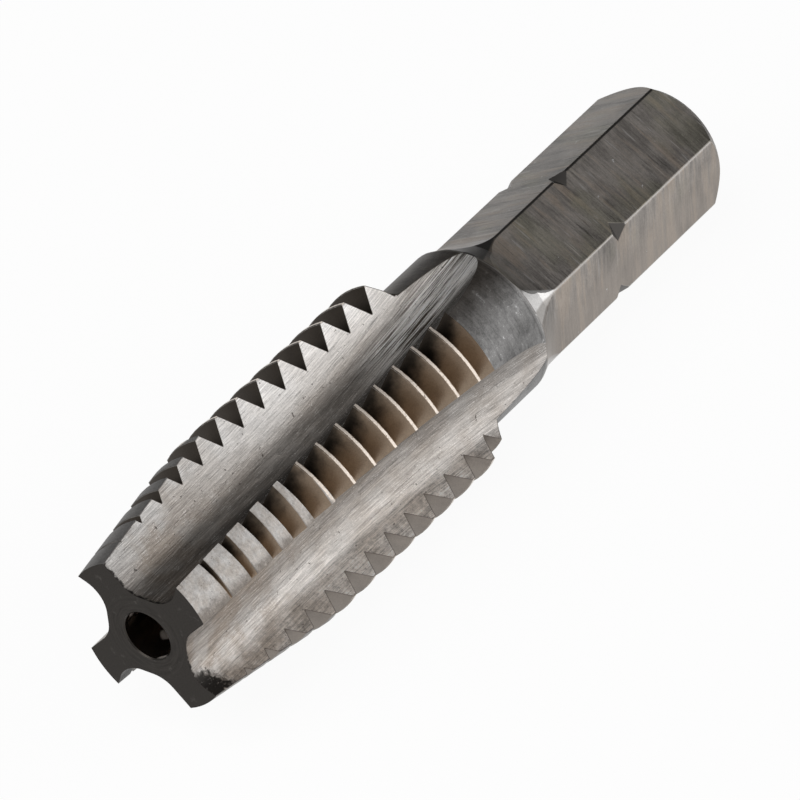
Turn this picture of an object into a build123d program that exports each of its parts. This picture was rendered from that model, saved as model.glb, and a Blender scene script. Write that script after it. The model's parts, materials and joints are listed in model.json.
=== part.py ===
from build123d import *
import os
from math import acos, asin, atan2, cos, degrees, radians, sin, sqrt, tan

# Short machine tap for a metric 10 x 1.5 thread, with four straight flutes and a
# quarter-inch hexagon drive end. It is one piece of tool steel, turned and then ground.
# It is drawn about its own axis, Z, with the front face at Z = 0, the drive end at +Z
# and the middle of one flute along X. At the end it is laid on its side. Millimetres.

# overall
overall_length = 40.2
flute_count = 4
flat_count = 6

# thread form: a sixty-degree vee with flat crests and narrow root flats
pitch = 1.5
crest_radius = 5.03
thread_angle = 60.0
crest_flat = pitch / 8
root_flat = pitch / 24
first_crest = 0.87

# lead chamfer, with each land relieved behind its cutting edge by an offset cone
lead_face_radius = 3.96
lead_length = 7.6
relief_offset = 0.37
land_share = 1 / 3

# flutes: a narrow floor between a hooked cutting flank and an open heel flank
core_radius = 2.06
floor_to_cutting_flank = 1.52
floor_to_heel_flank = 0.64
floor_corner_radius = 1.4
cutting_flank_angle = 20.0
heel_flank_angle = 46.3
flute_straight_end = 7.4
flute_wheel_radius = 88.0

# shoulder, neck and the cone behind the neck
shoulder_start = 20.2
shoulder_angle = 50.0
neck_radius = 3.87
neck_end = 24.95
neck_cone_end = 25.9

# hexagon drive: flats with a concave run-out, turned corners and a vee ring in them
across_flats = 6.26
corner_radius = 3.57
runout_radius = 3.3
flat_start = 26.97
ring_front = 31.45
ring_bottom = 31.8
ring_rear = 32.45
ring_bottom_radius = 3.35
end_face_radius = 2.95
end_chamfer_angle = 40.0
flat_index_angle = 2.2

# centre hole in the front face
hole_radius = 1.2
hole_depth = 6.0
hole_point_angle = 118.0
hole_edge_break = 0.06

# how far the cutting shapes run past the surfaces that they cut
end_overrun = 1.0
side_overrun = 3.0
groove_overrun = 0.09
groove_share = 0.8

# sizes worked out from the ones above
half_thread = radians(thread_angle / 2)
thread_depth = (pitch - crest_flat - root_flat) / 2 / tan(half_thread)
root_radius = crest_radius - thread_depth
shoulder_end = shoulder_start + (crest_radius - neck_radius) / tan(radians(shoulder_angle))
end_chamfer_length = (corner_radius - end_face_radius) / tan(radians(end_chamfer_angle))
corner_end = overall_length - end_chamfer_length
clear_radius = crest_radius + side_overrun


def revolved(outline, arc=360):
    """A body of revolution about Z from a closed outline drawn as (radius, height)."""
    return revolve(make_face(Plane.XZ * outline), Axis.Z, arc)


def polar_array(shape, count):
    """Copies of a shape evenly spaced about Z."""
    return [Rot(0, 0, 360 * i / count) * shape for i in range(count)]


def turned_blank():
    """The blank as it leaves the lathe, from the front face to the chamfered drive end."""
    outline = Polyline(
        (0, 0),
        (crest_radius, 0),
        (crest_radius, shoulder_start),
        (neck_radius, shoulder_end),
        (neck_radius, neck_end),
        (corner_radius, neck_cone_end),
        (corner_radius, ring_front),
        (ring_bottom_radius, ring_bottom),
        (corner_radius, ring_rear),
        (corner_radius, corner_end),
        (end_face_radius, overall_length),
        (0, overall_length),
        close=True,
    )
    return revolved(outline)


def land_relief():
    """Ring sector outside the offset cone that tapers and relieves one land of the lead."""
    sector = 360 / flute_count
    land_half_angle = radians(land_share * sector / 2)
    slope = (crest_radius - lead_face_radius) / lead_length
    cone_face_radius = lead_face_radius - relief_offset * sin(land_half_angle)
    outline = Polyline(
        (cone_face_radius - slope * end_overrun, -end_overrun),
        (clear_radius, -end_overrun),
        (clear_radius, (clear_radius - cone_face_radius) / slope),
        close=True,
    )
    return Pos(0, -relief_offset, 0) * Rot(0, 0, -sector / 2) * revolved(outline, sector)


def flute_section():
    """Section of one flute, as (radius, side): floor and two flanks with rounded corners."""
    flank_rise = clear_radius - core_radius
    corners = (
        (core_radius, -floor_to_heel_flank),
        (core_radius, floor_to_cutting_flank),
    )
    cutting_top = (clear_radius, corners[1][1] + flank_rise * tan(radians(cutting_flank_angle)))
    heel_top = (clear_radius, corners[0][1] - flank_rise * tan(radians(heel_flank_angle)))
    section = make_face(Polyline(*corners, cutting_top, heel_top, close=True))
    return fillet(section.vertices().group_by(Axis.X)[0], floor_corner_radius)


def flute():
    """One flute: straight along the axis, then rising out of the blank on the wheel's arc."""
    section = Pos(0, 0, -end_overrun) * flute_section()
    straight = extrude(section, flute_straight_end + end_overrun)
    wheel_axis = Axis((core_radius + flute_wheel_radius, 0, flute_straight_end), (0, 1, 0))
    wheel_turn = degrees(acos(1 - (clear_radius - core_radius) / flute_wheel_radius))
    run_out = revolve(Pos(0, 0, flute_straight_end) * flute_section(), wheel_axis, wheel_turn)
    return straight + run_out


def groove_arc(arc):
    """A short piece of the helical vee groove, which starts on the X axis at Z = 0."""
    root_half = root_flat / 2
    mouth_half = root_half + (thread_depth + groove_overrun) * tan(half_thread)
    vee = Polyline(
        (root_radius, -root_half),
        (crest_radius + groove_overrun, -mouth_half),
        (crest_radius + groove_overrun, mouth_half),
        (root_radius, root_half),
        close=True,
    )
    helix = Helix(pitch, pitch * arc / 360, root_radius)
    return sweep(make_face(Plane.XZ * vee), path=helix, is_frenet=True)


def thread_grooves():
    """All laps of the one helix, midway between its crests, each across one land."""
    sector = 360 / flute_count
    arc = groove_share * sector
    laps = range(-2, int(shoulder_end / pitch) + 1)
    groove = groove_arc(arc)
    grooves = []
    for land in range(flute_count):
        turn = (land + 0.5) * sector - arc / 2
        for lap in laps:
            height = first_crest + pitch * (turn / 360 + lap + 0.5)
            grooves.append(Pos(0, 0, height) * Rot(0, 0, turn) * groove)
    return grooves


def drive_flat():
    """Stock removed outside one flat of the hexagon, with the cutter's run-out in front."""
    flat_height = across_flats / 2
    past_end = overall_length + end_overrun
    runout_top = (flat_height + runout_radius, flat_start - runout_radius)
    run_out = TangentArc((flat_height, flat_start), runout_top, tangent=(0, -1))
    sides = Polyline(
        runout_top,
        (clear_radius, flat_start - runout_radius),
        (clear_radius, past_end),
        (flat_height, past_end),
        (flat_height, flat_start),
    )
    return extrude(make_face(Plane.XZ * (run_out + sides)), clear_radius, both=True)


def centre_hole():
    """The blind centre hole with its drill point and broken edge."""
    point_length = hole_radius / tan(radians(hole_point_angle / 2))
    outline = Polyline(
        (0, -end_overrun),
        (hole_radius + hole_edge_break + end_overrun, -end_overrun),
        (hole_radius, hole_edge_break),
        (hole_radius, hole_depth),
        (0, hole_depth + point_length),
        close=True,
    )
    return revolved(outline)


def tap():
    """The whole tap about its own axis."""
    land_turn = 180 / flute_count
    flat_turn = 180 / flat_count + flat_index_angle
    body = turned_blank()
    body -= [Rot(0, 0, land_turn) * cut for cut in polar_array(land_relief(), flute_count)]
    body -= polar_array(flute(), flute_count)
    body -= thread_grooves()
    body -= [Rot(0, 0, flat_turn) * cut for cut in polar_array(drive_flat(), flat_count)]
    body -= centre_hole()
    return body


def land_edge_angle(flank_angle, floor_to_flank, floor_rise):
    """Angle from a flute's middle to the edge where its flank meets the thread crests."""
    flank = radians(flank_angle)
    flank_distance = floor_to_flank * cos(flank) - (core_radius + floor_rise) * sin(flank)
    return flank_angle + degrees(asin(flank_distance / crest_radius))


def lying_place():
    """How it lies: on the last teeth beside its lowest flute and on a corner of its end."""
    last_teeth = shoulder_start - pitch / 3
    run = last_teeth - flute_straight_end
    floor_rise = flute_wheel_radius - sqrt(flute_wheel_radius ** 2 - run ** 2)
    ahead = land_edge_angle(cutting_flank_angle, floor_to_cutting_flank, floor_rise)
    behind = land_edge_angle(heel_flank_angle, floor_to_heel_flank, floor_rise)
    turn = (behind - ahead) / 2
    teeth_height = crest_radius * cos(radians((behind + ahead) / 2))
    tilt = degrees(atan2(teeth_height - corner_radius, corner_end - last_teeth))
    on_side = Plane(origin=(0, 0, 0), x_dir=(0, 0, 1), z_dir=(1, 0, 0)).location
    return on_side * Rot(0, -tilt, 0) * Rot(0, 0, turn)


if __name__ == "__main__":
    os.makedirs("parts", exist_ok=True)
    part = lying_place() * tap()
    part.label = "tap"
    export_step(part, "parts/tap.step")
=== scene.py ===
"""A short hexagon-drive thread tap lying on a pale floor, dressed in ground and darkened tool steel."""
import json
from math import cos, pi, radians, sin, sqrt, tan

import bpy
from mathutils import Matrix, Vector


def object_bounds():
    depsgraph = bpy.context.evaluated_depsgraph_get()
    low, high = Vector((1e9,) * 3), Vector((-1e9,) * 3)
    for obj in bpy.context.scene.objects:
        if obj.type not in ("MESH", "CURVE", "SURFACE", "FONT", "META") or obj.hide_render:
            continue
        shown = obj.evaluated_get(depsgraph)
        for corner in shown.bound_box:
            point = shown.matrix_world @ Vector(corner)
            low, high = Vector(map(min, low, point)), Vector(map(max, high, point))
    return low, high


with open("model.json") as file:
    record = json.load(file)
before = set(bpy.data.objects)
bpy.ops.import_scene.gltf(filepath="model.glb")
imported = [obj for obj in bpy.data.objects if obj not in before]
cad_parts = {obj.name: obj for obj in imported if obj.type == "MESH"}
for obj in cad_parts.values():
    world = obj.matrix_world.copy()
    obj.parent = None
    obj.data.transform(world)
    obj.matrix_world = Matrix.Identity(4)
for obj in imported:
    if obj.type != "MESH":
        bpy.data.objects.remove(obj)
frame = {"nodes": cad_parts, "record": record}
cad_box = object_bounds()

tap = frame["nodes"]["tap"]
mounts = {mount["name"]: mount for mount in frame["record"]["mounts"]}

MM_PER_METRE = 1000

# Sizes of the tap in millimetres and degrees, along its own axis from the front face.
PITCH = 1.5
CREST_RADIUS = 5.03
CREST_FLAT = PITCH / 8
ROOT_RADIUS = 3.947
FIRST_CREST = 0.87
LEAD_FACE_RADIUS = 3.96
LEAD_LENGTH = 7.6
RELIEF_OFFSET = 0.37
LAND_HALF_ANGLE = 15.0
FLUTE_STEP = 90.0
CORE_RADIUS = 2.06
FLOOR_HALF_WIDTH = 0.8
FLUTE_STRAIGHT_END = 7.4
WHEEL_RADIUS = 88.0
SHOULDER_START = 20.2
SHOULDER_END = 21.17
SHOULDER_ANGLE = 50.0
NECK_RADIUS = 3.87
NECK_END = 24.95
FLAT_STEP = 60.0
FLAT_TURN = 2.2
FLAT_HEIGHT = 6.26 / 2
FLAT_START = 26.97
RUNOUT_RADIUS = 3.3
FACET_END = 26.8
CORNER_RADIUS = 3.57
RING_FRONT = 31.45
RING_REAR = 32.45
CHAMFER_START = 39.4
OVERALL_LENGTH = 40.2
HOLE_RADIUS = 1.2

# Where the two turned facets beside a flat begin, in degrees from the flat's middle: first at the
# neck's end, and then at the facets' own end.
FAR_FACET = (11.0, 29.0)
NEAR_FACET = (-20.0, -30.0)

# The relieved lead ends before the first of these places, and the drilled hole before the second.
LEAD_LIMIT = 10.0
HOLE_LIMIT = 7.2

# How far the marks' pattern moves from one flute or flat to the next, so that no two look the same.
FLUTE_PATTERN_STEP = 7.0
FLAT_PATTERN_STEP = 7.3

# The tool axis, and the two directions across it that the tap's own angles count from.
LYING_TURN = radians(1.0)
TOOL_AXIS = Vector(mounts["hex_drive"]["axis"])
UP_ACROSS = Vector((-TOOL_AXIS.z, 0, TOOL_AXIS.x))
SIDE_ACROSS = Vector((0, -1, 0))
FLUTE_MIDDLE = cos(LYING_TURN) * UP_ACROSS + sin(LYING_TURN) * SIDE_ACROSS
FLUTE_SIDE = cos(LYING_TURN) * SIDE_ACROSS - sin(LYING_TURN) * UP_ACROSS

# The camera of the photograph: its place in metres, its directions and its lens in millimetres.
CAMERA_PLACE = Vector((-0.22012, -0.20765, 0.25090))
CAMERA_FORWARD = Vector((0.59071, 0.51308, -0.62274))
CAMERA_UP = Vector((0.57866, 0.26849, 0.77011))
LENS = 413.7
SENSOR_WIDTH = 36
NEAR_LIMIT = 0.01

# The two lamps: the way to each from the tap, its radius in metres and its level.
SIDE_LAMP = ((0.60, -0.75, 0.26), 0.22, 1.10)
FRONT_LAMP = ((-0.50, 0.10, 0.86), 0.25, 1.8)
LAMP_DISTANCE = 0.5
TAP_MIDDLE = Vector((0.02, 0, 0))

# The room's level, the level of its darker side, and where that side lies, begins and is darkest.
ROOM = 0.60
DARK_ROOM = 0.10
DARK_SIDE = Vector((0.66, 0.50, 0.56))
DARK_START = 0.3
DARK_FULL = 0.95

# The floor reaches this far each way in metres. The camera and reflections see this share of its glow.
FLOOR_REACH = 3.0
GLOW_SHARE = 0.94
FLOOR_COLOUR = (0.9, 0.9, 0.9, 1.0)

# Stain of old cutting oil, as a linear colour.
OLIVE = (0.205, 0.200, 0.140, 1.0)


class Signal:
    """A number that varies over a surface. Arithmetic on it adds Math nodes."""

    def __init__(self, graph, socket):
        self.graph = graph
        self.socket = socket

    def __add__(self, other):
        return self.graph.math("ADD", self, other)

    __radd__ = __add__

    def __sub__(self, other):
        return self.graph.math("SUBTRACT", self, other)

    def __rsub__(self, other):
        return self.graph.math("SUBTRACT", other, self)

    def __mul__(self, other):
        return self.graph.math("MULTIPLY", self, other)

    __rmul__ = __mul__

    def __truediv__(self, other):
        return self.graph.math("DIVIDE", self, other)


class Graph:
    """The nodes of one material or of the room."""

    def __init__(self, tree):
        self.tree = tree
        self.tree.nodes.clear()

    def node(self, kind, settings=None, numbered=None, **named):
        """Adds one node: its settings first, then the values or links of its sockets."""
        made = self.tree.nodes.new(kind)
        for key, value in (settings or {}).items():
            setattr(made, key, value)
        sockets = dict(numbered or {})
        for name, value in named.items():
            sockets[name.replace("_", " ")] = value
        for key, value in sockets.items():
            self.feed(made.inputs[key], value)
        return made

    def feed(self, socket, value):
        """Links another node's output to a socket, or gives the socket a plain value."""
        if isinstance(value, Signal):
            value = value.socket
        if isinstance(value, bpy.types.NodeSocket):
            self.tree.links.new(value, socket)
        else:
            socket.default_value = value

    def math(self, operation, *values):
        made = self.node("ShaderNodeMath", {"operation": operation}, dict(enumerate(values)))
        return Signal(self, made.outputs[0])

    def sine(self, degrees):
        """Sine of an angle in degrees."""
        return self.math("SINE", degrees * (pi / 180))

    def cosine(self, degrees):
        """Cosine of an angle in degrees."""
        return self.math("COSINE", degrees * (pi / 180))

    def from_middle(self, value, step):
        """A value counted from the middle of the step that it falls in."""
        return self.math("FLOORED_MODULO", value, step) - step / 2

    def limit(self, value, low, high):
        """The value, kept between low and high."""
        return self.math("MAXIMUM", self.math("MINIMUM", value, high), low)

    def smooth(self, value, low, high):
        """0 at low, 1 at high and a smooth step between them, whichever is the greater."""
        made = self.node(
            "ShaderNodeMapRange",
            {"interpolation_type": "SMOOTHSTEP"},
            Value=value,
            From_Min=min(low, high),
            From_Max=max(low, high),
        )
        step = Signal(self, made.outputs["Result"])
        return 1 - step if low > high else step

    def band(self, value, low, high, edge):
        """1 between low and high, and 0 outside, with soft edges."""
        return self.smooth(value, low - edge, low + edge) * self.smooth(value, high + edge, high - edge)

    def either(self, first, second):
        """The greater of two numbers."""
        return self.math("MAXIMUM", first, second)

    def blend(self, amount, first, second):
        """Goes from the first number to the second as the amount goes from 0 to 1."""
        return first + amount * (second - first)

    def dot(self, vector, direction):
        """How far a vector reaches in a direction."""
        made = self.node("ShaderNodeVectorMath", {"operation": "DOT_PRODUCT"}, {0: vector, 1: direction})
        return Signal(self, made.outputs["Value"])

    def vector(self, x, y, z):
        """A vector from three numbers."""
        return self.node("ShaderNodeCombineXYZ", X=x, Y=y, Z=z).outputs[0]

    def noise(self, place, scale, detail=2.0, roughness=0.5):
        """Cloudy pattern about 0.5. The scale is how many of its cells fit in a unit of the place."""
        made = self.node(
            "ShaderNodeTexNoise",
            Vector=place,
            Scale=scale,
            Detail=detail,
            Roughness=roughness,
        )
        return Signal(self, made.outputs["Fac"])

    def mix(self, amount, first, second):
        """Colour mix: the first colour where the amount is 0, the second where it is 1.

        The Mix node has sockets for each kind of data. Those for colours are inputs 6 and 7 and output 2.
        """
        made = self.node("ShaderNodeMix", {"data_type": "RGBA"}, {0: amount, 6: first, 7: second})
        return made.outputs[2]

    def lift(self, colour, gain):
        """The colour times a number."""
        start = colour[:3] if isinstance(colour, tuple) else colour
        return self.node("ShaderNodeVectorMath", {"operation": "SCALE"}, {0: start}, Scale=gain).outputs[0]


class Finish:
    """What one finish gives the surface: its colour, roughness and relief in millimetres."""

    def __init__(self, colour, roughness, relief=0.0):
        self.colour = colour
        self.roughness = roughness
        self.relief = relief


def tone(level, warm=0.0):
    """Linear colour from a display level of 0 to 255, browner where warm is above 0."""
    value = (level / 255) ** 2.2
    return (value * (1 + 1.3 * warm), value * (1 - 0.4 * warm), value * (1 - 1.9 * warm), 1.0)


class Places:
    """Where a point of the tap lies, and how far each of its finishes covers that point.

    z runs along the tool axis from the front face, x up through the middle of the upper flute, and y
    toward the photograph's side, all in millimetres. The angle round the axis counts from x toward y.
    A cover is 1 on its own surface, and fades to 0 within a few hundredths of a millimetre.
    """

    def __init__(self, g):
        point = g.node("ShaderNodeTexCoord").outputs["Object"]
        self.z = g.dot(point, TOOL_AXIS) * MM_PER_METRE
        self.x = g.dot(point, FLUTE_MIDDLE) * MM_PER_METRE
        self.y = g.dot(point, FLUTE_SIDE) * MM_PER_METRE
        self.point = g.vector(self.x, self.y, self.z)
        self.radius = g.math("SQRT", self.x * self.x + self.y * self.y)
        self.angle = g.math("ARCTAN2", self.y, self.x)
        self.degrees = self.angle * (180 / pi)
        self.ragged = g.noise(self.point, 5.0, 4.0, 0.7) - 0.5
        self.fine = g.noise(self.point, 16.0, 3.0, 0.65) - 0.5
        self.flutes(g)
        self.threads(g)
        self.shank(g)
        self.hexagon(g)
        self.ends(g)

    def flutes(self, g):
        """Place across a flute's ground profile, which the wheel carries along the flute.

        The profile place is the distance across the flute's middle, plus the height above its floor
        on the cutting side and less that height on the heel side. The floor rises on the wheel's arc.
        """
        flute_angle = self.degrees + FLUTE_STEP / 2
        from_middle = g.from_middle(flute_angle, FLUTE_STEP)
        flute_number = g.math("FLOOR", flute_angle / FLUTE_STEP)
        self.flute_shift = flute_number * FLUTE_PATTERN_STEP
        self.across = self.radius * g.sine(from_middle)
        run = g.math("MAXIMUM", self.z - FLUTE_STRAIGHT_END, 0.0)
        rise = WHEEL_RADIUS - g.math("SQRT", WHEEL_RADIUS ** 2 - run * run)
        self.height = self.radius * g.cosine(from_middle) - CORE_RADIUS - rise
        self.profile = self.across + self.height * g.limit(self.across / FLOOR_HALF_WIDTH, -1.0, 1.0)

    def ground(self, g, width, length, detail=2.0, slant=0.0):
        """Grinding marks of a width and a length in millimetres, which follow the flute."""
        place = g.vector(self.profile + self.z * slant, self.flute_shift, self.z * (width / length))
        return g.noise(place, 1 / width, detail, 0.6) - 0.5

    def threads(self, g):
        """Crests, lead, flanks and shoulder, from the helix of the thread and the cone of the lead."""
        z = self.z
        lap = (z - FIRST_CREST) / PITCH - self.degrees / 360
        from_crest = g.math("ABSOLUTE", g.from_middle(lap + 0.5, 1.0)) * PITCH
        vee = CREST_RADIUS - g.math("MAXIMUM", from_crest - CREST_FLAT / 2, 0.0) * sqrt(3)
        thread_radius = g.math("MAXIMUM", vee, ROOT_RADIUS)

        self.across_land = g.from_middle(self.degrees, FLUTE_STEP)
        side = self.radius * g.sine(self.across_land) + RELIEF_OFFSET
        rise = self.radius * g.cosine(self.across_land)
        cone_start = LEAD_FACE_RADIUS - RELIEF_OFFSET * sin(radians(LAND_HALF_ANGLE))
        cone_slope = (CREST_RADIUS - LEAD_FACE_RADIUS) / LEAD_LENGTH
        below_cone = cone_start + cone_slope * z - g.math("SQRT", rise * rise + side * side)
        self.below_thread = g.math("MINIMUM", thread_radius - self.radius, below_cone)

        before_shoulder = g.smooth(z, SHOULDER_START + 0.02, SHOULDER_START - 0.02)
        self.crest = g.smooth(self.radius, CREST_RADIUS - 0.05, CREST_RADIUS - 0.02) * before_shoulder
        self.burnished = self.crest * g.smooth(from_crest + self.ragged * 0.10, 0.085, 0.06)
        self.lead = g.smooth(below_cone, 0.05, 0.02) * g.smooth(z, LEAD_LIMIT, LEAD_LIMIT - 0.5)
        on_thread = g.smooth(g.math("ABSOLUTE", self.radius - thread_radius), 0.06, 0.035)
        before_neck = g.smooth(z, SHOULDER_END + 0.1, SHOULDER_END)
        self.flank = on_thread * before_neck * (1 - self.crest) * (1 - self.lead)
        shoulder_radius = CREST_RADIUS - (z - SHOULDER_START) * tan(radians(SHOULDER_ANGLE))
        on_shoulder = g.smooth(g.math("ABSOLUTE", self.radius - shoulder_radius), 0.05, 0.03)
        self.shoulder = on_shoulder * g.band(z, SHOULDER_START, SHOULDER_END, 0.02)

    def shank(self, g):
        """The neck, and all that lies behind it."""
        self.neck = g.smooth(self.radius, NECK_RADIUS - 0.03, NECK_RADIUS - 0.015)
        self.neck = self.neck * g.band(self.z, SHOULDER_END - 0.02, NECK_END, 0.01)
        self.behind_neck = g.smooth(self.z, NECK_END - 0.01, NECK_END + 0.01)

    def hexagon(self, g):
        """Flats with their run-out, the turned facets beside it, and the vee ring.

        The run-out leaves a turned facet at each side, which narrows toward the flat's corner.
        """
        z = self.z
        flat_angle = self.degrees - FLAT_TURN
        from_middle = g.from_middle(flat_angle, FLAT_STEP)
        self.flat_shift = g.math("FLOOR", flat_angle / FLAT_STEP) * FLAT_PATTERN_STEP
        self.flat_side = self.radius * g.sine(from_middle)
        height = self.radius * g.cosine(from_middle)
        back = g.limit(FLAT_START - z, 0.0, RUNOUT_RADIUS)
        line = FLAT_HEIGHT + RUNOUT_RADIUS - g.math("SQRT", RUNOUT_RADIUS ** 2 - back * back)
        on_flat = g.smooth(g.math("ABSOLUTE", height - line), 0.03, 0.012)
        on_flat = on_flat * g.smooth(z, NECK_END - 0.25, NECK_END - 0.15)

        past_neck = (z - NECK_END) / (FACET_END - NECK_END)
        far_facet = g.smooth(from_middle - g.blend(past_neck, *FAR_FACET), -1.0, 1.0)
        near_facet = g.smooth(from_middle - g.blend(past_neck, *NEAR_FACET), 1.0, -1.0)
        beside_facets = g.smooth(z, FACET_END + 0.03, FACET_END - 0.03) * self.behind_neck
        self.flat = g.blend(beside_facets, on_flat, 1 - g.either(far_facet, near_facet))

        in_ring = g.band(z, RING_FRONT, RING_REAR, 0.02)
        below_corner = g.smooth(self.radius, CORNER_RADIUS - 0.005, CORNER_RADIUS - 0.02)
        self.ring = self.behind_neck * in_ring * (1 - self.flat) * below_corner

    def milled(self, g, stretch, scale, detail, roughness):
        """Milling marks across the flats. The lower the stretch, the longer they run."""
        place = g.vector(self.flat_side * stretch + self.flat_shift, self.flat_shift, self.z)
        return g.noise(place, scale, detail, roughness) - 0.5

    def ends(self, g):
        """Front face, centre hole, and the drive end's chamfer and face."""
        self.face = g.smooth(self.z, 0.02, 0.005)
        self.hole = g.smooth(self.radius, HOLE_RADIUS + 0.08, HOLE_RADIUS + 0.05)
        self.hole = self.hole * g.smooth(self.z, HOLE_LIMIT, HOLE_LIMIT - 0.1)
        self.chamfer = g.smooth(self.z, CHAMFER_START - 0.05, CHAMFER_START + 0.05)
        self.end_face = g.smooth(self.z, OVERALL_LENGTH - 0.05, OVERALL_LENGTH - 0.02)


def flute_tints_and_painted_light(g, p, far_side_painted_light):
    """Broad tones of the flutes, browner near the front.

    On the +y side a flute is painted lighter on its cutting flank and darker elsewhere, as light and
    shade. On the far side a flute is browner low down, and painted lighter on its heel flank, more so
    toward the run-out.
    """
    cloud = g.noise(p.point, 0.5, 3.0, 0.6)
    colour = g.mix(g.smooth(cloud, 0.35, 0.65), tone(160, 0.055), tone(176, 0.035))
    heel_side = g.smooth(p.across, -0.8, -1.4)
    # Painted light: on the far side the heel flank is lighter.
    colour = g.mix(heel_side * far_side_painted_light * 0.5, colour, tone(170, 0.0))
    # Painted light and shade by side: these gains lighten the cutting flank on the +y side, and the heel
    # flank on the far side toward the run-out.
    painted_floor_light = 0.33 * g.smooth(p.across, -0.1, 0.6)
    painted_cutting_light = 0.75 * g.smooth(p.across, 1.45, 1.80)
    painted_heel_light = heel_side * (0.12 + 0.88 * g.smooth(p.z, 0.0, 20.0))
    colour = g.lift(colour, g.blend(far_side_painted_light, painted_floor_light + painted_cutting_light + 0.75, painted_heel_light + 1.0))
    low = g.smooth(p.height, 1.6, 0.2)
    colour = g.mix(low * far_side_painted_light * 0.5, colour, tone(140, 0.07))
    front = g.smooth(p.z, 11.0, 1.0) * g.smooth(cloud, 0.60, 0.42)
    return g.mix(front * 0.6, colour, tone(142, 0.11))


def blackened_front(g, p, colour):
    """The front face's blackening, which creeps raggedly into the flutes and holds some dust."""
    creep = g.smooth(p.z - 0.9 * p.across + p.ragged * 1.4, -0.35, -0.90) * g.smooth(p.across, 1.0, 1.5)
    edge = g.either(creep, g.smooth(p.z + p.ragged * 0.5, 0.16, 0.03))
    dust = g.smooth(p.fine + p.ragged, 0.14, 0.22)
    return g.mix(edge, colour, g.mix(dust * 0.7, tone(52, 0.05), tone(125, 0.04)))


def flute_finish(g, p):
    """Ground flutes: fine marks along the wheel's path, a streaked run-out, sparks and dark pits.

    The far-side mask is 0 on the +y side of the tap and 1 on the far side; the flutes' painted light and
    shade by side follow it.
    """
    hair = p.ground(g, 0.05, 0.9)
    scratch = p.ground(g, 0.08, 2.2, slant=0.05)
    broad = p.ground(g, 0.40, 6.0, 3.0)
    # Far-side mask, which carries the painted light and shade that differ by side.
    far_side_painted_light = g.smooth(p.y, 2.4, 1.2)
    colour = flute_tints_and_painted_light(g, p, far_side_painted_light)

    run_out = g.smooth(p.z, 15.5, 19.5) * g.smooth(p.across + broad, -1.2, -0.2) * far_side_painted_light
    streaks = g.smooth(p.ground(g, 0.09, 4.5, 3.0), -0.12, 0.05)
    colour = g.mix(run_out, colour, g.mix(streaks, tone(84, 0.13), tone(246, 0.02)))
    # Far-side corner between floor and cutting flank is darkened: partly stain, partly painted shade,
    # stronger further back.
    corner = g.smooth(p.across + broad * 0.6 - p.z * 0.04, -0.30, 0.20) * g.smooth(p.height, 1.5, 0.4)
    shade = 0.45 + 0.45 * g.smooth(p.z, 2.0, 9.0)
    colour = g.mix(corner * far_side_painted_light * shade, colour, tone(80, 0.06))

    torn = (g.noise(p.point, 3.5, 4.0, 0.75) - 0.5) * g.smooth(p.across, 1.5, 2.1) * (1 - far_side_painted_light)
    marks = 1.3 * hair + 1.2 * scratch + 0.9 * broad + 0.8 * p.fine + 1.8 * torn
    colour = g.lift(colour, 1.0 + marks)
    sparks = g.smooth(p.fine + hair * 1.2, 0.15, 0.26)
    colour = g.mix(sparks * 0.55, colour, tone(226, 0.02))
    rim = g.smooth(g.math("ABSOLUTE", p.below_thread), 0.09, 0.03) * g.smooth(p.ragged, -0.06, 0.04)
    colour = g.mix(rim * 0.55, colour, tone(84, 0.08))
    pits = g.smooth(g.noise(p.point, 6.0, 2.0, 0.5), 0.69, 0.75)
    colour = g.mix(pits * 0.7, colour, tone(66, 0.08))
    relief = hair * 0.014 + scratch * 0.012 + run_out * streaks * 0.02 - pits * 0.02
    return Finish(blackened_front(g, p, colour), 0.42 + 0.3 * broad, relief)


def flank_finish(g, p):
    """Thread flanks browned by heat: nearly black on top and at the far side of the tap.

    They are warm brown on the +y side, and greyer underneath. The near black and the brown by side are
    partly heat colour and partly painted shade; the greyer underside is painted light.
    """
    cloud = g.noise(p.point, 0.9, 3.0, 0.6)
    # Near black to warm brown by side: partly heat colour, partly painted shade.
    warm_side_and_painted_shade = g.smooth(p.y + cloud * 1.4, 2.9, 3.9)
    colour = g.mix(warm_side_and_painted_shade, tone(56, 0.12), tone(131, 0.165))
    # Painted light: the underside is greyer and lighter.
    painted_under_side = g.smooth(p.x, 0.6, -1.2)
    colour = g.mix(painted_under_side, colour, tone(122, 0.08))
    colour = g.lift(colour, 0.70 + 0.6 * cloud + 0.7 * p.fine)
    return Finish(colour, 0.32 + 0.1 * cloud, p.fine * 0.006)


def crest_finish(g, p):
    """Narrow bright crests with ragged borders and fine nicks."""
    nicks = g.smooth(p.ragged + p.fine * 0.6, 0.14, 0.24)
    colour = g.lift(tone(212, 0.07), 0.95 + 0.9 * p.fine)
    colour = g.mix(nicks * 0.8, colour, tone(100, 0.12))
    return Finish(colour, 0.42, p.fine * 0.006 - nicks * 0.02)


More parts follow.
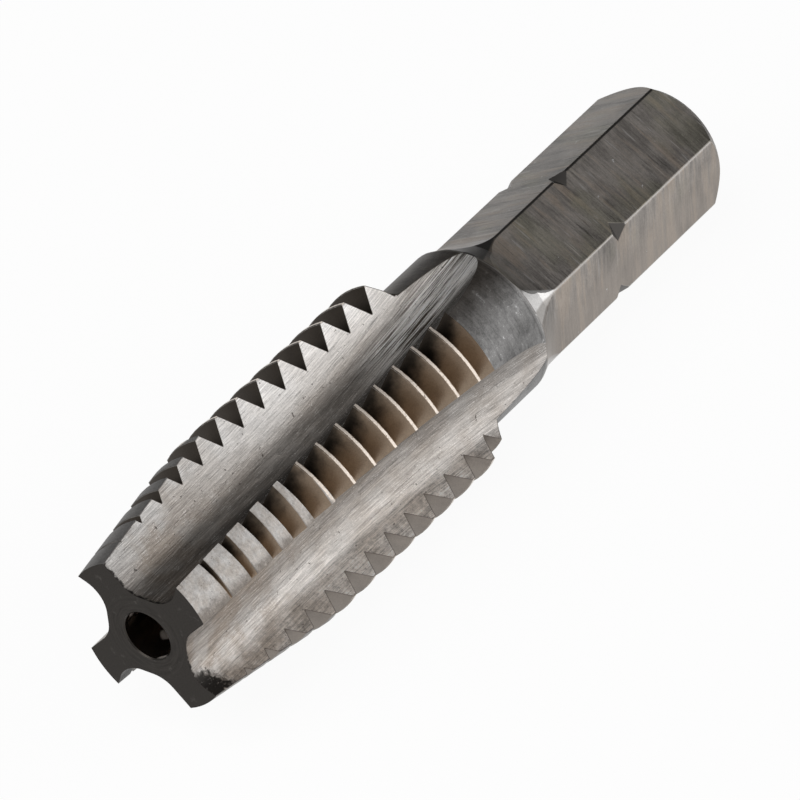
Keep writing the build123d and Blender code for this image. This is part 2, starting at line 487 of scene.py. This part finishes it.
def lead_finish(g, p):
    """Relieved lead: grey with fine marks round it, and browner toward the heel.

    It is painted darker, as shade, on every land but the upper one on the +y side.
    """
    mottle = g.noise(p.point, 1.8, 5.0, 0.75)
    colour = g.mix(g.smooth(mottle, 0.38, 0.62), tone(174, 0.05), tone(192, 0.02))
    stain = g.smooth(p.across_land + (mottle - 0.5) * 24, 4.0, 13.0)
    colour = g.mix(stain * 0.9, colour, tone(122, 0.08))
    # Painted shade: the far upper land and the lands underneath are darker.
    far_land_painted_shade = g.smooth(p.y, 0.8, -0.6) * g.smooth(p.x, -0.5, 0.5)
    painted_under_side = 0.65 * g.smooth(p.x, -1.0, -1.8)
    colour = g.mix(g.either(far_land_painted_shade, painted_under_side), colour, tone(98, 0.03))
    round_it = g.noise(g.vector(p.degrees / 30, p.radius * 0.3, p.z), 8.0, 3.0, 0.65) - 0.5
    colour = g.lift(colour, 1.0 + 0.9 * p.fine + 0.8 * round_it)
    specks = g.smooth(p.fine + p.ragged * 0.6, 0.13, 0.2)
    colour = g.mix(specks * 0.7, colour, tone(86, 0.08))
    return Finish(colour, 0.5, p.fine * 0.014 + round_it * 0.01)


def neck_finish(g, p):
    """Turned neck, frosted grey, scuffed both ways, and painted lighter on the +y side, as light."""
    patch = g.noise(p.point, 0.9, 3.0, 0.6) - 0.5
    girth = p.angle * NECK_RADIUS + patch * 2.5
    turning = g.noise(g.vector(girth * 0.1, 0.0, p.z), 9.0, 2.0, 0.6) - 0.5
    one_way = g.noise(g.vector(girth + p.z, (girth - p.z) * 0.3, 0.0), 3.5, 4.0, 0.75) - 0.5
    other_way = g.noise(g.vector(girth * 0.35, p.z, 5.0), 4.5, 4.0, 0.75) - 0.5
    scuff = one_way + other_way
    # Painted light: the +y side is lighter, and the bright specks show only there.
    painted_light_side = g.smooth(p.y + patch, 1.0, 3.0)
    colour = g.mix(painted_light_side, tone(84, 0.08), tone(122, 0.01))
    colour = g.lift(colour, 1.0 + 0.9 * scuff + 0.5 * turning + 1.4 * patch + 0.9 * p.fine)
    specks = g.smooth(scuff + patch * 0.6 + p.fine * 0.5, 0.18, 0.32)
    colour = g.mix(specks * painted_light_side * 0.7, colour, tone(204, 0.0))
    # Painted shade along a small step near the neck's end, and a painted highlight on the end's edge.
    painted_step_shade = g.band(p.z, NECK_END - 0.30, NECK_END - 0.22, 0.03)
    colour = g.mix(painted_step_shade * 0.35, colour, tone(60, 0.04))
    painted_edge_highlight = g.band(p.z, NECK_END - 0.10, NECK_END - 0.03, 0.03)
    colour = g.mix(painted_edge_highlight * 0.35, colour, tone(170, 0.03))
    return Finish(colour, 0.46, scuff * 0.02 + turning * 0.006)


def turned_finish(g, p):
    """Cone behind the neck, corners and end chamfer, smooth from turning, painted darker on top as shade
    and lighter at the sides as light.
    """
    from_top = g.math("ABSOLUTE", p.degrees)
    past_corner = g.smooth(p.degrees, 61.0, 63.0)
    behind_cone = g.smooth(p.z, FACET_END, FACET_END + 0.3)
    # Painted light: the sides are painted light, dimmer past the corner and behind the cone; the top is
    # painted dark, as shade.
    light = g.mix(g.either(past_corner, behind_cone), tone(206, 0.01), tone(156, 0.03))
    colour = g.mix(g.smooth(from_top, 43.0, 48.0), tone(92, 0.03), light)
    # The end chamfer is painted darker on top, as shade.
    chamfer = g.mix(g.smooth(from_top, 59.0, 63.0), tone(84, 0.05), tone(134, 0.05))
    colour = g.mix(p.chamfer, colour, chamfer)
    colour = g.lift(colour, 1.0 + 0.6 * p.fine + 0.4 * p.ragged)
    return Finish(colour, 0.30 + 0.25 * p.chamfer, p.fine * 0.004)


def end_face_finish(g, p):
    """Drive end's face, with turning rings."""
    rings = g.noise(g.vector(p.radius, p.angle * 0.1, 0.0), 6.0, 4.0, 0.7) - 0.5
    cloud = g.noise(p.point, 0.8, 4.0, 0.65) - 0.5
    colour = g.lift(tone(136, 0.06), 1.0 + 1.6 * rings + 1.5 * cloud + 0.8 * p.fine)
    return Finish(colour, 0.55, p.fine * 0.004 + rings * 0.02)


def flat_finish(g, p):
    """Milled flats: cutter marks across them, brown and olive stains on top, a few bright nicks, and
    painted shade that darkens the upper flats.
    """
    fine = p.milled(g, 0.06, 8.0, 3.0, 0.65)
    hair = p.milled(g, 0.4, 13.0, 2.0, 0.6)
    coarse = p.milled(g, 0.18, 1.6, 3.0, 0.55)
    blotch = p.milled(g, 0.7, 0.5, 4.0, 0.6)
    lines = g.noise(g.vector(p.flat_side * 0.10, p.flat_shift, p.z), 5.0, 2.0, 0.5)
    oiled = g.noise(g.vector(p.flat_side * 0.6, p.flat_shift + 3.0, p.z), 0.4, 3.0, 0.6)

    # Mask of the upper flats, which carry the brown and olive stains, stronger marks, darker blotches and
    # painted shade.
    top = g.smooth(p.x, -1.0, 2.2)
    colour = g.mix(top, tone(139, 0.07), tone(137, 0.05))
    colour = g.lift(colour, 1.0 - g.smooth(blotch, -0.06, 0.10) * (0.10 + 0.16 * top))
    stain = g.smooth(coarse + fine * 0.5, -0.02, 0.16)
    colour = g.mix(stain * top * 0.6, colour, tone(120, 0.13))
    colour = g.mix(g.smooth(oiled, 0.50, 0.64) * top * 0.35, colour, OLIVE)
    colour = g.mix(stain * (1 - top) * 0.35, colour, tone(142, 0.12))

    marks = 1.6 * fine + 2.0 * coarse + 0.7 * hair + 0.8 * p.fine - 0.35 * g.smooth(lines, 0.60, 0.72)
    # Painted shade: each upper flat darkens toward one side.
    painted_flat_shade = 0.08 - 0.30 * g.smooth(p.flat_side + coarse * 2.0, -0.4, 1.9)
    colour = g.lift(colour, 1.0 + marks * (0.26 + 0.52 * top) + painted_flat_shade * top)
    colour = g.mix(g.smooth(lines, 0.38, 0.30) * top * 0.35, colour, tone(184, 0.02))
    nicks = g.smooth(g.noise(p.point, 2.2, 3.0, 0.7), 0.70, 0.74)
    colour = g.mix(nicks * 0.7, colour, tone(210, 0.0))
    return Finish(colour, 0.36 + 0.2 * fine, fine * 0.016 + coarse * 0.010 + hair * 0.006)


def face_finish(g, p):
    """Front face: blackened, with faint turning rings near the hole and a few scuffs."""
    rings = g.noise(g.vector(p.radius, p.angle * 0.15, 0.0), 9.0, 2.0, 0.5) - 0.5
    near_hole = g.smooth(p.radius, 2.6, 1.4)
    scuffs = g.smooth(g.noise(p.point, 1.6, 4.0, 0.7), 0.58, 0.74)
    colour = g.mix(scuffs * 0.5, tone(58, 0.07), tone(96, 0.05))
    colour = g.lift(colour, 0.95 + 0.9 * p.fine + near_hole * rings * 1.3)
    return Finish(colour, 0.5, rings * near_hole * 0.01 + p.fine * 0.008)


def hole_finish(g, p):
    """Drilled hole, dark and a little shiny with a few painted glints, its edge as black as the face."""
    # Painted glints: bright patches on the drilled wall that stand in for reflections.
    painted_glint = g.smooth(g.noise(p.point, 0.8, 1.0, 0.5), 0.58, 0.66)
    colour = g.mix(painted_glint, g.lift(tone(136, 0.12), 1.0 + 0.8 * p.ragged), tone(240, 0.04))
    colour = g.mix(g.smooth(p.z, 0.12, 0.05), colour, tone(58, 0.07))
    return Finish(colour, 0.22 + 0.3 * painted_glint, p.fine * 0.01 + painted_glint * 0.04)


def tap_steel():
    """The one material of the tap: each finish covers its own surfaces, in the order of making."""
    material = bpy.data.materials.new("tool_steel_finish")
    material.use_nodes = True
    g = Graph(material.node_tree)
    p = Places(g)
    flute = flute_finish(g, p)
    layers = [
        (g.either(g.either(p.flank, p.shoulder), p.crest), flank_finish(g, p)),
        (p.lead, lead_finish(g, p)),
        (p.burnished, crest_finish(g, p)),
        (p.neck, neck_finish(g, p)),
        (p.behind_neck, turned_finish(g, p)),
        (p.end_face, end_face_finish(g, p)),
        (p.flat, flat_finish(g, p)),
        (p.ring, Finish(tone(88, 0.04), 0.4)),
        (p.face, face_finish(g, p)),
        (p.hole, hole_finish(g, p)),
    ]
    colour, roughness, relief = flute.colour, flute.roughness, flute.relief
    for cover, finish in layers:
        colour = g.mix(cover, colour, finish.colour)
        roughness = g.blend(cover, roughness, finish.roughness)
        relief = g.blend(cover, relief, finish.relief)
    bump = g.node("ShaderNodeBump", Height=relief * (1 / MM_PER_METRE), Strength=0.6, Distance=1.0)
    shader = g.node(
        "ShaderNodeBsdfPrincipled",
        Base_Color=colour,
        Metallic=1.0,
        Roughness=roughness,
        Normal=bump.outputs[0],
    )
    g.node("ShaderNodeOutputMaterial", Surface=shader.outputs[0])
    return material


def floor_paint():
    """Plain pale paint. The camera and reflections see it glow white, with the tap's soft shadow."""
    material = bpy.data.materials.new("pale_floor")
    material.use_nodes = True
    g = Graph(material.node_tree)
    path = g.node("ShaderNodeLightPath")
    seen = Signal(g, path.outputs["Is Camera Ray"])
    seen = g.either(seen, Signal(g, path.outputs["Is Glossy Ray"]))
    seen = g.either(seen, Signal(g, path.outputs["Is Transmission Ray"]))
    lit = g.node("ShaderNodeBsdfDiffuse", Color=FLOOR_COLOUR)
    glow = g.node("ShaderNodeEmission", Color=(1.0, 1.0, 1.0, 1.0), Strength=1.0)
    parts = {0: seen * GLOW_SHARE, 1: lit.outputs[0], 2: glow.outputs[0]}
    shader = g.node("ShaderNodeMixShader", numbered=parts)
    g.node("ShaderNodeOutputMaterial", Surface=shader.outputs[0])
    return material


def pale_floor():
    """Plain floor at the height of the tap's lowest point."""
    low = cad_box[0].z
    ways = [(-1, -1), (1, -1), (1, 1), (-1, 1)]
    corners = [(x * FLOOR_REACH, y * FLOOR_REACH, low) for x, y in ways]
    mesh = bpy.data.meshes.new("floor")
    mesh.from_pydata(corners, [], [(0, 1, 2, 3)])
    mesh.materials.append(floor_paint())
    floor = bpy.data.objects.new("floor", mesh)
    bpy.context.collection.objects.link(floor)


def photo_camera():
    """Camera at the photograph's angle and distance, with a long lens."""
    data = bpy.data.cameras.new("photo_camera")
    data.lens = LENS
    data.sensor_width = SENSOR_WIDTH
    data.clip_start = NEAR_LIMIT
    camera = bpy.data.objects.new("photo_camera", data)
    right = CAMERA_FORWARD.cross(CAMERA_UP)
    turn = Matrix((right, CAMERA_UP, -CAMERA_FORWARD)).transposed()
    camera.matrix_world = Matrix.Translation(CAMERA_PLACE) @ turn.to_4x4()
    bpy.context.collection.objects.link(camera)
    bpy.context.scene.camera = camera


def lamp(name, way, radius, level):
    """A soft round lamp that faces the tap. Its power gives its disk the level as radiance."""
    way = Vector(way).normalized()
    data = bpy.data.lights.new(name, "AREA")
    data.shape = "DISK"
    data.size = 2 * radius
    data.energy = level * pi * pi * radius ** 2
    light = bpy.data.objects.new(name, data)
    turn = way.to_track_quat("Z", "Y").to_matrix().to_4x4()
    light.matrix_world = Matrix.Translation(TAP_MIDDLE + way * LAMP_DISTANCE) @ turn
    bpy.context.collection.objects.link(light)


def studio():
    """A broad soft lamp beside the tap, one over its front, and a room with one darker side."""
    lamp("side_lamp", *SIDE_LAMP)
    lamp("front_lamp", *FRONT_LAMP)
    world = bpy.data.worlds.new("studio")
    world.use_nodes = True
    g = Graph(world.node_tree)
    way = g.node("ShaderNodeTexCoord").outputs["Generated"]
    toward_dark = g.smooth(g.dot(way, DARK_SIDE), DARK_START, DARK_FULL)
    level = g.mix(toward_dark, (ROOM, ROOM, ROOM, 1.0), (DARK_ROOM, DARK_ROOM, DARK_ROOM, 1.0))
    background = g.node("ShaderNodeBackground", Color=level, Strength=1.0)
    g.node("ShaderNodeOutputWorld", Surface=background.outputs[0])
    bpy.context.scene.world = world


tap.data.materials.clear()
tap.data.materials.append(tap_steel())
pale_floor()
photo_camera()
studio()

bpy.context.scene.view_settings.view_transform = "Standard"
